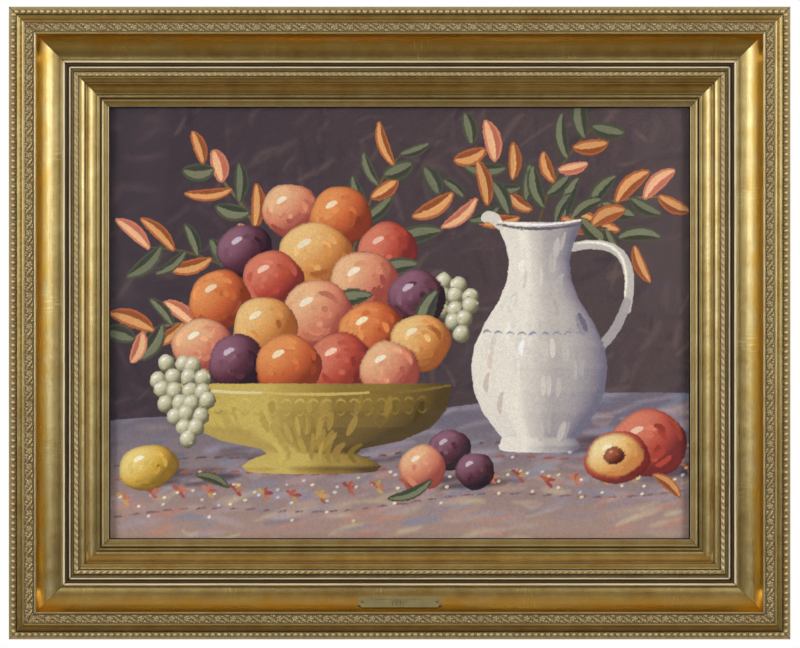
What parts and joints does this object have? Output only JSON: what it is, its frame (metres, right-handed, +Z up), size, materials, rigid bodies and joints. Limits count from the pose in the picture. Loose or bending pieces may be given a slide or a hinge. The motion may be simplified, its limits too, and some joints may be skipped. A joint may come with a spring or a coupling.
{
  "type": "framed watercolour painting",
  "caption": "Wide gilt moulding frame, mitred at the corners, round a glazed landscape-format watercolour still life, with a small brass plate and a wall hanger.",
  "frame": {"origin": "middle of the hanger's back face, on the wall plane, at the frame's middle from side to side", "axes": "+X to the viewer's right along the frame, +Y into the wall, +Z up; the picture faces -Y"},
  "size_m": [0.8002, 0.0529, 0.6477],
  "materials": {
    "gilded_wood": "metal leaf over red clay ground on carved wood, rubbed and toned",
    "clear_glass": "clear picture glass",
    "dark_spacer": "matt black",
    "watercolour_paper": "cold-pressed paper with transparent and body colour",
    "grey_board": "plain backing board",
    "fixing_steel": "zinc-plated",
    "plate_brass": "dull lacquered sheet brass",
    "hanger_brass": "bright brassed",
    "bumper_rubber": "matt"
  },
  "bodies": {
    "root": {"rail_top": "gilded_wood", "rail_bottom": "gilded_wood", "rail_left": "gilded_wood", "rail_right": "gilded_wood", "glazing": "clear_glass", "spacer_top": "dark_spacer", "spacer_bottom": "dark_spacer", "spacer_left": "dark_spacer", "spacer_right": "dark_spacer", "watercolour_sheet": "watercolour_paper", "backing_board": "grey_board", "point_top_1": "fixing_steel", "point_top_2": "fixing_steel", "point_bottom_1": "fixing_steel", "point_bottom_2": "fixing_steel", "point_left_1": "fixing_steel", "point_left_2": "fixing_steel", "point_right_1": "fixing_steel", "point_right_2": "fixing_steel", "name_plate": "plate_brass", "plate_pin_left": "plate_brass", "plate_pin_right": "plate_brass", "hanger": "hanger_brass", "hanger_screw_left": "fixing_steel", "hanger_screw_right": "fixing_steel", "bumper_left": "bumper_rubber", "bumper_right": "bumper_rubber"}
  },
  "joints": []
}
